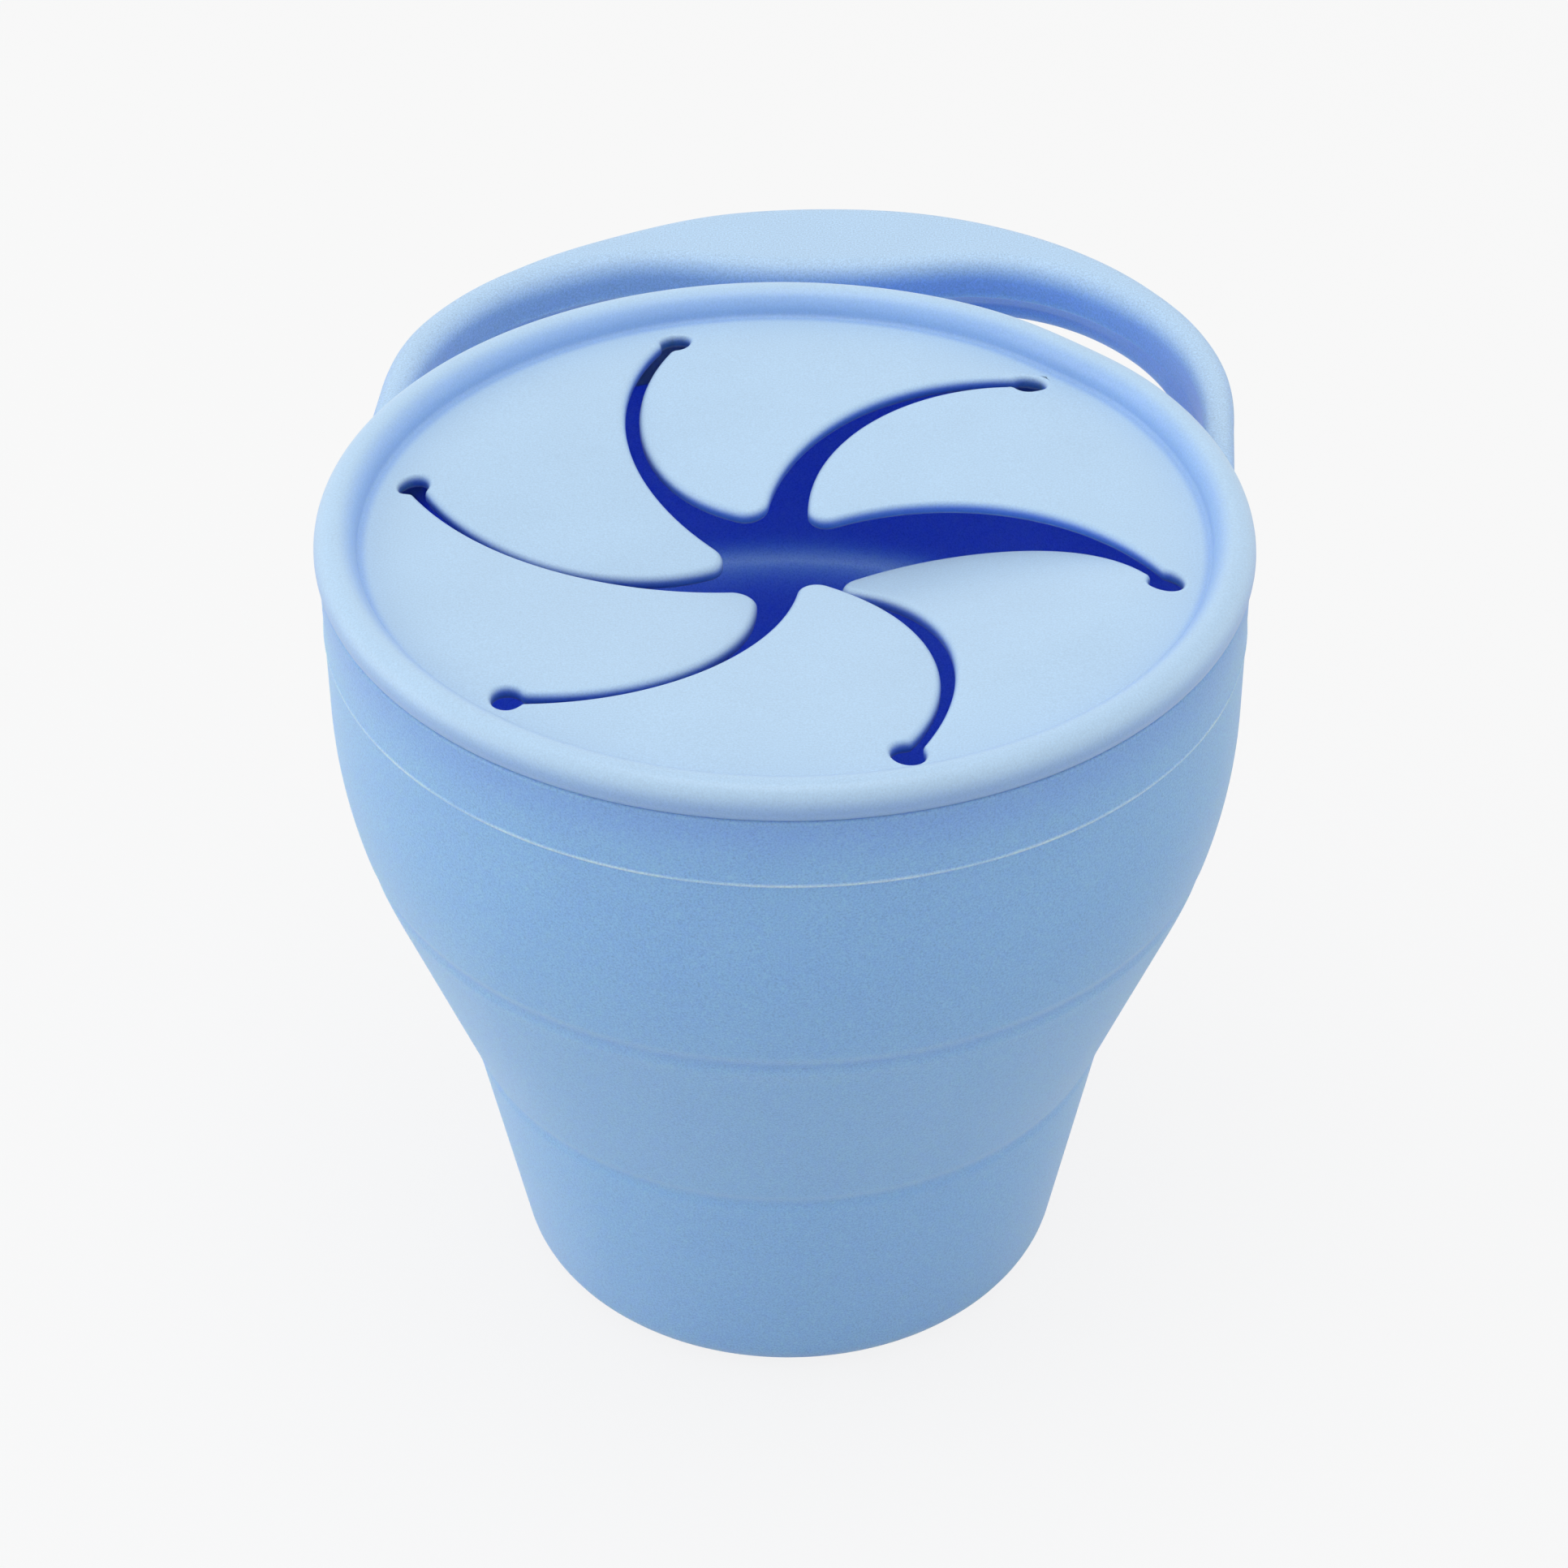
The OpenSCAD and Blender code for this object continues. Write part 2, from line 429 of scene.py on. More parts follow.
class Finish(Enum):
    """The silicone of each moulding, as copies of one rubber that differ in their painted shade."""

    # Painted shade: the cup's face colour is a more saturated copy of the lid's for walls that face
    # sideways, and its deep colour is painted shade inside, along the folds and under the bead.
    CUP = MouldedSilicone("moulded_silicone_cup", "#9ac7fd", "#84a6ff", glow=1.0, reach=7.0)
    # Painted shade: the handle's deep colour shades its inner face, outer face and underside; its second
    # colour is near the cup's shaded face colour, for the roots.
    HANDLE = MouldedSilicone("moulded_silicone_handle", "#b2d0ec", "#7eaae2", flash="#93bff8")
    # Painted shade: the lid's deep colour, in the bead's hollow, low on the bead and underneath.
    LID = MouldedSilicone(
        "moulded_silicone_lid", "#b3d1ec", "#5090ea", reach=2.0, roughness=0.4, speckle=0.09
    )
    # Painted shade: the petals' copy has a darker deep colour, for the cut faces in the slits.
    PETAL = MouldedSilicone(
        "moulded_silicone_petal", "#b3d1ec", "#386ed4", reach=2.0, roughness=0.4, speckle=0.09
    )


# ---------------------------------------------------------------- the cup


def in_order(heights: Iterable[float]) -> list[float]:
    """Heights from low to high, each of them once."""
    return sorted({round(height, 4) for height in heights})


@dataclass
class CupMoulding:
    """The cup's wall: base tier, folding wall, shoulder and collar in one skin.

    Attributes:
        low_fold_z: Height of the lower fold.
        top_fold_z: Height of the upper fold.
        rim_z: Height of the rim.
        collar_r: Outer radius of the collar.
        wall: Thickness of the wall.
        collar_h: Height of the straight collar.
        shoulder_r: Radius of the shoulder below it, seen in the profile.
        cone_angle: Lean of the folding wall, in degrees.
        base_angle: Lean of the base tier, in degrees.
        corner_r: Radius of the outer corner at the floor.
        inner_corner_r: Radius of the inner corner above the bottom.
        bottom_t: Thickness of the bottom.
        fold_t: Thickness of the wall at a fold.
        fold_fade: Height over which the wall comes back to its full thickness.
        rim_edge_r: Radius of the rim's two edges.
        joint_z: Height of the tool's joint round the collar.
        joint_half_w: Half width of the flash line that it leaves.
        joint_proud: How far that line stands proud.
        joint_pale_w: Half width of its pale colour, partly the flash's own paler colour and partly
        a painted highlight along the ridge.
        joint_wave: How uneven that colour is round the cup.
        fold_dip: Depth of the shallow dip that a fold leaves in the outside.
        fold_dip_half_w: Half height of that dip.
        inside_deep: Depths below the rim between which the inside turns to its painted shade
            colour, which also lets light reach further into the wall.
        fold_painted_highlight: Strength of the painted highlight on the inside at the upper fold.
        fold_painted_highlight_rise: How far above the fold that painted highlight lies.
        fold_painted_highlight_w: Half height of it.
        top_fold_dark: Strength of the painted shade on the outside along the upper fold.
        top_fold_w: Half height of that painted shade.
        low_fold_dark: Strength of the painted shade on the outside along the lower fold.
        low_fold_w: Half height of that painted shade.
        under_fold_highlight: Strength of a soft painted highlight in a line below the upper fold.
        line_drop: How far below the fold it lies.
        line_w: Half height of it.
        bead_shade: Strength of the painted shade on the outside just under the lid's bead.
        root_angles: Directions of the handle's two roots, in degrees.
        root_half_angle: Half width of the inside's patch behind a root, in degrees.
        root_z: Height of its middle.
        root_half_h: Half height of it.
        root_pale: How much of the inside's painted shade is taken off in the patch, a painted
        lightening, as the root keeps light out of the wall.
        kink_ease: How far the angle at the lower fold is eased.
        spacing: Height from one ring of points to the next.
        segments: Number of points in a ring.
    """

    low_fold_z: float
    top_fold_z: float
    rim_z: float
    collar_r: float
    wall: float = 2.4
    collar_h: float = 16.3
    shoulder_r: float = 57.0
    cone_angle: float = 20.5
    base_angle: float = 10.7
    corner_r: float = 4.0
    inner_corner_r: float = 3.0
    bottom_t: float = 3.0
    fold_t: float = 1.4
    fold_fade: float = 4.0
    rim_edge_r: float = 0.45
    joint_z: float = 80.96
    joint_half_w: float = 0.2
    joint_proud: float = 0.12
    joint_pale_w: float = 0.24
    joint_wave: float = 0.3
    fold_dip: float = 0.28
    fold_dip_half_w: float = 1.6
    inside_deep: tuple[float, float] = (0.5, 3.0)
    fold_painted_highlight: float = 0.28
    fold_painted_highlight_rise: float = 0.6
    fold_painted_highlight_w: float = 2.0
    top_fold_dark: float = 0.2
    top_fold_w: float = 0.7
    low_fold_dark: float = 0.1
    low_fold_w: float = 0.6
    under_fold_highlight: float = 0.09
    line_drop: float = 1.5
    line_w: float = 1.1
    bead_shade: float = 0.36
    root_angles: tuple[float, float] = (20.0, 150.0)
    root_half_angle: float = 10.0
    root_z: float = 83.2
    root_half_h: float = 5.5
    root_pale: float = 0.55
    kink_ease: float = 0.6
    spacing: float = 0.8
    segments: int = 360

    @classmethod
    def from_frame(cls) -> "CupMoulding":
        """Takes the cup's main sizes from the frame's nodes.

        Returns:
            The cup's moulding.
        """
        fold_low, fold_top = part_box("fold_wall")
        upper_low, upper_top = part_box("upper_tier")
        return cls(
            low_fold_z=fold_low.z / MM,
            top_fold_z=fold_top.z / MM,
            rim_z=upper_top.z / MM,
            collar_r=-upper_low.y / MM,
        )

    def outer_r(self, z: float) -> float:
        """Radius of the plain outside at height z.

        Args:
            z: Height above the floor.

        Returns:
            The radius, with the angle at the lower fold eased.
        """
        shoulder_z = self.rim_z - self.collar_h
        centre_r = self.collar_r - self.shoulder_r
        lean = math.radians(self.cone_angle)
        cone_z = shoulder_z - self.shoulder_r * math.sin(lean)
        cone_top_r = centre_r + self.shoulder_r * math.cos(lean)
        if z >= shoulder_z:
            return self.collar_r
        if z >= cone_z:
            return centre_r + math.sqrt(self.shoulder_r**2 - (shoulder_z - z) ** 2)
        cone = cone_top_r - (cone_z - z) * math.tan(lean)
        fold_r = cone_top_r - (cone_z - self.low_fold_z) * math.tan(lean)
        tier = fold_r - (self.low_fold_z - z) * math.tan(math.radians(self.base_angle))
        return soft_max(cone, tier, self.kink_ease)

    def outside(self) -> list[Point]:
        """Makes the outer profile from the floor's middle up to the rim.

        Returns:
            The profile's points, as radius and height.
        """
        top = self.rim_z - self.rim_edge_r
        heights = list(np.arange(self.corner_r + self.spacing, top, self.spacing))
        for fold_z in (self.low_fold_z, self.top_fold_z):
            heights += list(fold_z + self.fold_dip_half_w * np.linspace(-1, 1, 9))
        heights += [self.joint_z + self.joint_half_w * part for part in (-1.6, -1, -0.5, 0, 0.5, 1, 1.6)]
        heights += [self.rim_z - self.collar_h, top]
        lean = math.radians(self.base_angle)
        corner = (self.outer_r(self.corner_r) - self.corner_r / math.cos(lean), self.corner_r)
        path = [(0.0, 0.0), (corner[0] / 2, 0.0)]
        path += bend(corner, self.corner_r, -90, -self.base_angle, steps=10)
        path += [(self.outer_r(z) + self.relief(z), z) for z in in_order(heights)]
        path += bend((self.collar_r - self.rim_edge_r, top), self.rim_edge_r, 0, 90, steps=5)[1:]
        return path

    def relief(self, z: float) -> float:
        """Finds how far the dips at the folds and the tool's joint stand off the plain outside.

        Args:
            z: Height above the floor.

        Returns:
            The distance, which is negative in a dip.
        """
        offset = 0.0
        for fold_z in (self.low_fold_z, self.top_fold_z):
            reach = (z - fold_z) / self.fold_dip_half_w
            if abs(reach) < 1:
                offset -= self.fold_dip * (1 - reach**2) ** 2
        reach = (z - self.joint_z) / self.joint_half_w
        if abs(reach) < 1:
            offset += self.joint_proud * (1 - reach**2)
        return offset

    def thickness(self, z: float) -> float:
        """Finds the wall's thickness, thinned above the lower fold and about the upper one.

        Args:
            z: Height above the floor.

        Returns:
            The thickness.
        """
        if z < self.low_fold_z:
            return self.wall
        near = min(z - self.low_fold_z, abs(self.top_fold_z - z)) / self.fold_fade
        return self.fold_t + (self.wall - self.fold_t) * min(1.0, near)

    def inside(self) -> list[Point]:
        """Makes the inner profile from the rim down to the bottom's middle.

        Returns:
            The profile's points, as radius and height.
        """
        edge, round_r = self.rim_edge_r, self.inner_corner_r
        start_z = self.bottom_t + round_r
        heights = list(np.arange(start_z + self.spacing, self.rim_z - edge, self.spacing))
        for fold_z in (self.low_fold_z, self.top_fold_z):
            heights += [fold_z + step for step in (-0.25, -0.05, 0.05, 0.25)]
        path = bend((self.collar_r - self.wall + edge, self.rim_z - edge), edge, 90, 180, steps=5)
        path += [(self.outer_r(z) - self.thickness(z), z) for z in in_order(heights)[::-1]]
        lean = math.radians(self.base_angle)
        corner = (self.outer_r(start_z) - self.wall - round_r / math.cos(lean), start_z)
        path += bend(corner, round_r, -self.base_angle, -90, steps=8)
        return path + [(corner[0] / 2, self.bottom_t), (0.0, self.bottom_t)]

    def tones(self, z: float, hidden: bool) -> tuple[float, float]:
        """How much painted shade and how much pale second colour the rubber gets at height z.

        Args:
            z: Height above the floor.
            hidden: Whether the point is inside the cup.

        Returns:
            The share of the painted shade colour and the share of the pale one, which is the joint's
            flash, partly a painted highlight, and painted highlights by the upper fold.
        """
        above = z - self.top_fold_z
        # Inside: painted shade deepening below the rim, and a painted highlight at the upper fold.
        if hidden:
            pale = self.fold_painted_highlight * bump(above - self.fold_painted_highlight_rise, self.fold_painted_highlight_w)
            return smooth(self.rim_z - z, *self.inside_deep), pale
        # Outside: painted shade along the folds and under the bead, the joint's pale line, partly a
        # painted highlight, and a painted highlight below the upper fold.
        deep = self.top_fold_dark * bump(above, self.top_fold_w)
        deep += self.low_fold_dark * bump(z - self.low_fold_z, self.low_fold_w)
        deep += self.bead_shade * smooth(z, self.joint_z + 1.0, self.rim_z)
        pale = max(0.0, 1 - abs(z - self.joint_z) / self.joint_pale_w)
        return deep, pale + self.under_fold_highlight * bump(above + self.line_drop, self.line_w)

    def lit_through(self, angle: float, z: float) -> float:
        """Finds how much of the inside's painted shade is kept, with a painted lightening behind the
        handle's roots, where less light comes through.

        Args:
            angle: Direction of the point.
            z: Its height above the floor.

        Returns:
            The share of the full painted shade.
        """
        across = min(abs(math.degrees(angle) - root) for root in self.root_angles)
        near = bump(across, self.root_half_angle) * bump(z - self.root_z, self.root_half_h)
        return 1 - self.root_pale * near

    def unevenness(self, angle: float) -> float:
        """How pale the flash shows in one direction, since it isn't even round the cup."""
        return 1 - self.joint_wave * (1 - math.sin(5 * angle + 1) * math.sin(17 * angle))

    def build(self) -> bpy.types.Object:
        """Turns the closed profile round the axis.

        Returns:
            The cup's skin.
        """
        outside, inside = self.outside(), self.inside()
        path = outside[1:] + inside[:-1]
        turns = np.radians(np.arange(self.segments) * 360 / self.segments)
        points, inner, flash = [], [], []
        for number, (r, z) in enumerate(path):
            hidden = number >= len(outside) - 1
            # deep is the share of painted shade; pale is the share of the second colour, which holds the
            # joint's pale line and the painted highlights by the upper fold.
            deep, pale = self.tones(z, hidden)
            points += [(r * math.cos(a), r * math.sin(a), settled(r * math.cos(a), z)) for a in turns]
            # inside, the painted shade is lightened behind the handle's roots
            inner += [deep * (self.lit_through(a, z) if hidden else 1.0) for a in turns]
            flash += [pale * (1.0 if hidden else self.unevenness(a)) for a in turns]
        faces = grid_faces(len(path), self.segments, wrap_rows=False, wrap_columns=True)
        for row, (r, z), order in ((0, outside[0], -1), (len(path) - 1, inside[-1], 1)):
            pole = len(points)
            points.append((r, 0.0, z))
            inner.append(0.0 if row == 0 else 1.0)
            flash.append(0.0)
            for j in range(self.segments):
                pair = [row * self.segments + j, row * self.segments + (j + 1) % self.segments]
                faces.append([pole] + pair[:: -order])
        return make_piece("cup_wall", points, faces, {Mark.PAINTED_SHADE: inner, Mark.FLASH: flash}, crease=50.0)

    def dress(self, silicone: bpy.types.Material) -> bpy.types.Object:
        """Builds the cup's skin and gives it its finish.

        Args:
            silicone: The cup's silicone.

        Returns:
            The finished piece.
        """
        piece = self.build()
        piece.data.materials.append(silicone)
        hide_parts("base_tier", "fold_wall", "upper_tier")
        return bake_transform(piece)


# ---------------------------------------------------------------- the handle


@dataclass
class LoopHandle:
    """The band that leaves the collar on both sides and widens into a pad behind the cup.

    Attributes:
        top_z: Height of the band's top.
        height: Height of the band.
        collar_r: Outer radius of the collar that the band grows out of.
        wall: Thickness of the collar.
        turn: Turn of the loop away from +Y, clockwise, in degrees.
        loop_y: Distance from the cup's axis to the loop's middle.
        plan: Directions about the loop's middle in degrees, from its right root to its left one, each
            with the distances of the band's inner and outer faces.
        ease: Width over which those distances are smoothed, in degrees.
        flare: How far the inner face's foot stands back straight behind the cup.
        flare_from: How far back a direction points where that sets in, from 0 to 1.
        lug_h: Length of the straight lugs that run forward into the collar.
        top_edge_r: Radius of the band's top edges.
        low_edge_r: Radius of its low edges.
        edge_gap: Least flat strip on either side of the middle between two edges.
        side_tone: Share of painted shade on the outer face and the underside, so that they match the
            cup's shaded copy of the colour.
        inner_tone: Share of painted shade on the inner face's top, as a share of that at its foot.
        left_lift: How much less painted shade the inner face gets on the left.
        root_fade: Length over which the cup's shaded face colour runs into a lug.
        bend_start: How far in front of the loop's middle the band starts to bend.
        bend_end: How far behind it the band is done bending.
        seam_drop: How far the tool's joint on the inner face lies below the band's middle.
        seam_proud: How far its flash stands proud.
        seam_half_w: Half width of that flash.
        seam_clear: Height of the plain strips beside it.
        outer_steps: Number of chords of the top outer edge.
        inner_steps: Number of chords of the top inner edge.
        lug_steps: Number of places along a lug.
        loop_steps: Number of places along the loop.
    """

    top_z: float
    height: float
    collar_r: float
    wall: float
    turn: float = 5.0
    loop_y: float = 28.4
    plan: tuple[tuple[float, float, float], ...] = (
        (0, 42.2, 45.5),
        (15, 42.2, 46.3),
        (30, 41.6, 46.5),
        (45, 39.9, 46.2),
        (54, 38.0, 45.9),
        (62, 35.6, 45.5),
        (70, 32.0, 45.2),
        (78, 29.6, 44.8),
        (90, 28.2, 44.0),
        (100, 28.5, 43.8),
        (110, 30.0, 43.9),
        (118, 33.0, 43.6),
        (126, 36.0, 43.6),
        (135, 38.0, 44.3),
        (150, 40.9, 45.6),
        (165, 42.3, 46.8),
        (180, 42.6, 46.3),
    )
    ease: float = 4.0
    flare: float = 2.3
    flare_from: float = 0.4
    lug_h: float = 18.0
    top_edge_r: float = 2.6
    low_edge_r: float = 2.3
    edge_gap: float = 0.1
    side_tone: float = 0.55
    inner_tone: float = 0.95
    left_lift: float = 0.35
    root_fade: float = 13.0
    bend_start: float = 6.5
    bend_end: float = 14.0
    seam_drop: float = 0.2
    seam_proud: float = 0.07
    seam_half_w: float = 0.14
    seam_clear: float = 0.6
    outer_steps: int = 9
    inner_steps: int = 12
    lug_steps: int = 36
    loop_steps: int = 240

    @classmethod
    def from_frame(cls, cup: CupMoulding) -> "LoopHandle":
        """Takes the band's height from the frame and its seat from the cup.

        Args:
            cup: The cup that the band grows out of.

        Returns:
            The handle.
        """
        low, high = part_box("handle")
        return cls(high.z / MM, (high.z - low.z) / MM, cup.collar_r, cup.wall)

    def faces_at(self, angle: float) -> tuple[float, float]:
        """Distances of the band's inner and outer faces in one direction.

        Args:
            angle: Direction about the loop's middle, in degrees.

        Returns:
            The inner distance and the outer one.
        """
        steps = np.linspace(-2.5, 2.5, 21)
        weight = np.exp(-0.5 * steps**2)
        weight /= weight.sum()
        spread = angle + self.ease * steps
        angles, *sides = zip(*self.plan)
        inner, outer = [float(weight @ np.interp(spread, angles, side)) for side in sides]
        return inner, outer

    def stations(self) -> list[tuple[complex, complex, float, float]]:
        """Places along the band, from the left root to the right one.

        Returns:
            For each place the point that distances are measured from, the direction out of the loop,
            and the inner and outer distance along it, all in the handle's own plane.
        """
        places = []
        middle = complex(0, self.loop_y)
        for step in range(self.lug_steps):
            back = self.lug_h * (1 - step / self.lug_steps)
            places.append((middle - 1j * back, -1 + 0j, *self.faces_at(180)))
        for step in range(self.loop_steps + 1):
            angle = 180 * (1 - step / self.loop_steps)
            places.append((middle, turned(1 + 0j, angle), *self.faces_at(angle)))
        for step in range(1, self.lug_steps + 1):
            back = self.lug_h * step / self.lug_steps
            places.append((middle - 1j * back, 1 + 0j, *self.faces_at(0)))
        return places

    def section(
        self, inner: float, outer: float, away: float, dim: float
    ) -> list[tuple[float, float, float]]:
        """Closed section of the band, as distance out of the loop, height and painted shade.

        Args:
            inner: Distance of the inner face.
            outer: Distance of the outer face.
            away: 0 beside the cup and 1 straight behind it.
            dim: How much painted shade the inner face gets.

        Returns:
            The section's points, anticlockwise from the low outer corner.
        """
        top, low = self.top_z, self.top_z - self.height
        foot = inner + self.flare * away
        high_r = min(self.top_edge_r, (outer - inner) / 2 - self.edge_gap)
        low_r = min(self.low_edge_r, (outer - foot) / 2 - self.edge_gap)
        # Painted shade: side on the outer face and the underside, fall and dim on the inner face.
        side, fall = self.side_tone, self.inner_tone * dim
        path = [(r, z, side) for r, z in bend((outer - low_r, low + low_r), low_r, -90, 0, steps=7)]
        path += [(outer, z, side) for z in np.linspace(low + low_r, top - high_r, 6)[1:-1]]
        edge = bend((outer - high_r, top - high_r), high_r, 0, 90, self.outer_steps)
        for step, (r, z) in enumerate(edge):
            path.append((r, z, side * (1 - smooth(step / self.outer_steps, 0.1, 0.9))))
        path += [(r, top, 0.0) for r in np.linspace(outer - high_r, inner + high_r, 8)[1:-1]]
        edge = bend((inner + high_r, top - high_r), high_r, 90, 180, self.inner_steps)
        for step, (r, z) in enumerate(edge):
            path.append((r, z, fall * smooth(step / self.inner_steps, 0.25, 1.1)))
        seam = (low + top) / 2 - self.seam_drop
        clear, half = self.seam_clear, self.seam_half_w
        for z in (seam + clear, seam + half, seam, seam - half, seam - clear, low + low_r + clear):
            share = max(0.0, (seam - z) / (seam - low - low_r))
            proud = self.seam_proud if z == seam else 0.0
            path.append((inner + self.flare * away * share - proud, z, fall if z >= seam else dim))
        path += [(r, z, dim) for r, z in bend((foot + low_r, low + low_r), low_r, 180, 270, steps=7)]
        path += [(r, low, side) for r in np.linspace(foot + low_r, outer - low_r, 8)[1:-1]]
        return path

    def build(self) -> bpy.types.Object:
        """Sweeps the section along the loop, with its roots sunk into the collar's wall.

        Returns:
            The band.
        """
        seat_r = self.collar_r - self.wall / 2
        points, shade, root = [], [], []
        stations = self.stations()
        root_y = self.loop_y - self.lug_h
        for origin, out, inner, outer in stations:
            # near blends a lug into the second colour, the cup's shaded face colour.
            near = 1 - smooth(origin.imag, root_y, root_y + self.root_fade)
            away = max(0.0, out.imag - self.flare_from) / (1 - self.flare_from)
            # dim is the inner face's painted shade, lighter on the left.
            dim = 1 - self.left_lift * smooth(-out.real, -0.1, 0.5)
            for distance, z, tone in self.section(inner, outer, away, dim):
                place = turned(origin + out * distance, -self.turn)
                if abs(place) < seat_r:
                    place *= seat_r / abs(place)
                points.append((place.real, place.imag, z))
                shade.append(tone)
                root.append(near)
        columns = len(points) // len(stations)
        faces = grid_faces(len(stations), columns, wrap_rows=False, wrap_columns=True)
        faces.append(list(range(columns)))
        faces.append([len(points) - 1 - j for j in range(columns)])
        marks = {Mark.PAINTED_SHADE: shade, Mark.FLASH: root}
        return make_piece("handle_band", points, faces, marks, crease=60.0)

    def dress(self, silicone: bpy.types.Material) -> bpy.types.Object:
        """Builds the band and gives it its finish.

        Args:
            silicone: The handle's silicone.

        Returns:
            The finished piece.
        """
        band = self.build()
        band.data.materials.append(silicone)
        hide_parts("handle")
        for y in (self.loop_y - self.bend_start, self.loop_y + self.bend_end):
            place = turned(complex(0, y), -self.turn)
        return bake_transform(band)


# ---------------------------------------------------------------- the lid


@dataclass
class SlitPattern:
    """The lid's six spiral slits, in millimetres about the lid's middle.

    Attributes:
        count: Number of slits.
        first_angle: Direction of the first relief hole.
        circle_r: Radius of the circle that the holes lie on.
        hole_r: Radius of a hole.
        half_w: Half width of a slit where it leaves its hole.
        near: Centre of the curve on a slit's clockwise side, with the hole straight out on X.
        far: Centre of the curve on its anticlockwise side.
        lip_r: Radius of the corner between a hole and a slit.
        tip_r: Radius of a petal's tip.
        seam: Distance from the lid's middle to the line where a petal joins the ring.
        shift: How far the pattern lies off the lid's middle.
        stretch: How much longer the pattern is from front to back than across.
        hold: How far inside and outside the holes' circle the shift and stretch fade out.
        hole_soft: Share of the edge's rounding that a hole gets.
        lip_soft: Share that the corner between a hole and a slit gets.
        step: Longest chord of a curve.
    """

    count: int = 6
    first_angle: float = 107.3
    circle_r: float = 39.0
    hole_r: float = 1.63
    half_w: float = 1.1
    near: complex = 21.22 - 13.26j
    far: complex = 18.9 - 16.45j
    lip_r: float = 0.8
    tip_r: float = 2.1
    seam: float = 36.0
    shift: complex = -0.25 + 0.63j
    stretch: float = 1.009
    hold: tuple[float, float] = (1.0, 2.5)
    hole_soft: float = 0.72
    lip_soft: float = 0.88
    step: float = 0.32

    @property
    def pitch(self) -> float:
        """Angle from one slit to the next."""
        return 360 / self.count

    @property
    def root(self) -> float:
        """Distance from the lid's middle to a petal's hinge line."""
        return self.circle_r * math.cos(math.radians(self.pitch / 2))

    def laid(self, spot: complex) -> complex:
        """Where a point of the even pattern lies on the lid, which holds still outside the holes."""
        free = 1 - smooth(abs(spot), self.circle_r - self.hold[0], self.circle_r + self.hold[1])
        return spot + free * (self.shift + 1j * spot.imag * (self.stretch - 1))

    def seam_angles(self, per_petal: int) -> list[float]:
        """Directions of the shared seam points, about the middle of a petal."""
        return list(np.linspace(-self.pitch / 2, self.pitch / 2, per_petal + 1))

    def seam_r(self, angle: float) -> float:
        """Distance of the seam in a direction off the middle of its petal."""
        return self.seam / math.cos(math.radians(angle))

    def sweep(
        self, centre: complex, start: complex, end: complex, clockwise: bool, solid: float
    ) -> list[tuple[complex, complex]]:
        """Points along an arc, each with the direction into the petal.

        Args:
            centre: Centre of the arc.
            start: First point.
            end: Last point.
            clockwise: Way round the centre.
            solid: How soft the edge is, 1 for a full edge, and negative where the petal lies inside
                the arc.

        Returns:
            Pairs of point and direction.
        """
        radius = abs(start - centre)
        begin = cmath.phase(start - centre)
        turn = (cmath.phase(end - centre) - begin) % (2 * math.pi)
        if clockwise:
            turn -= 2 * math.pi
        steps = max(3, math.ceil(abs(turn) * radius / self.step))
        outs = [cmath.rect(1.0, begin + turn * s / steps) for s in range(steps + 1)]
        return [(centre + radius * out, solid * out) for out in outs]

    def outline(self, per_petal: int) -> list[tuple[complex, complex]]:
        """One petal's outline, anticlockwise, with X through the middle of its root.

        Args:
            per_petal: Number of chords of the seam.

        Returns:
            Pairs of point and direction into the petal. A seam point has no direction.
        """
        half = self.pitch / 2
        hole = complex(self.circle_r, 0)
        near_r = abs(hole - 1j * self.half_w - self.near)
        far_r = abs(hole + 1j * self.half_w - self.far)
        near_lip = meet(hole, self.hole_r + self.lip_r, self.near, near_r - self.lip_r, -1)
        far_lip = meet(hole, self.hole_r + self.lip_r, self.far, far_r + self.lip_r, -1)
        near, far = turned(self.near, half), turned(self.far, -half)
        tip = meet(near, near_r - self.tip_r, far, far_r + self.tip_r, -1)
        high, low = turned(hole, half), turned(hole, -half)
        near_lip, far_lip = turned(near_lip, half), turned(far_lip, -half)

        path = [(turned(complex(self.seam_r(a), 0), a), 0j) for a in self.seam_angles(per_petal)]
        out_high, out_low = turned(1 + 0j, half), turned(1 + 0j, -half)
        hole_end = high + self.hole_r * unit(near_lip - high)
        path += self.sweep(high, high + self.hole_r * out_high, hole_end, True, self.hole_soft)
        near_start = near + near_r * unit(near_lip - near)
        path += self.sweep(near_lip, hole_end, near_start, False, -self.lip_soft)[1:]
        near_end = near + near_r * unit(tip - near)
        path += self.sweep(near, near_start, near_end, False, -1)[1:]
        far_start = far + far_r * unit(tip - far)
        path += self.sweep(tip, near_end, far_start, False, -1)[1:]
        far_end = far + far_r * unit(far_lip - far)
        path += self.sweep(far, far_start, far_end, True, 1)[1:]
        hole_start = low + self.hole_r * unit(far_lip - low)
        path += self.sweep(far_lip, far_end, hole_start, False, -self.lip_soft)[1:]
        return path + self.sweep(low, hole_start, low + self.hole_r * out_low, True, self.hole_soft)[1:]


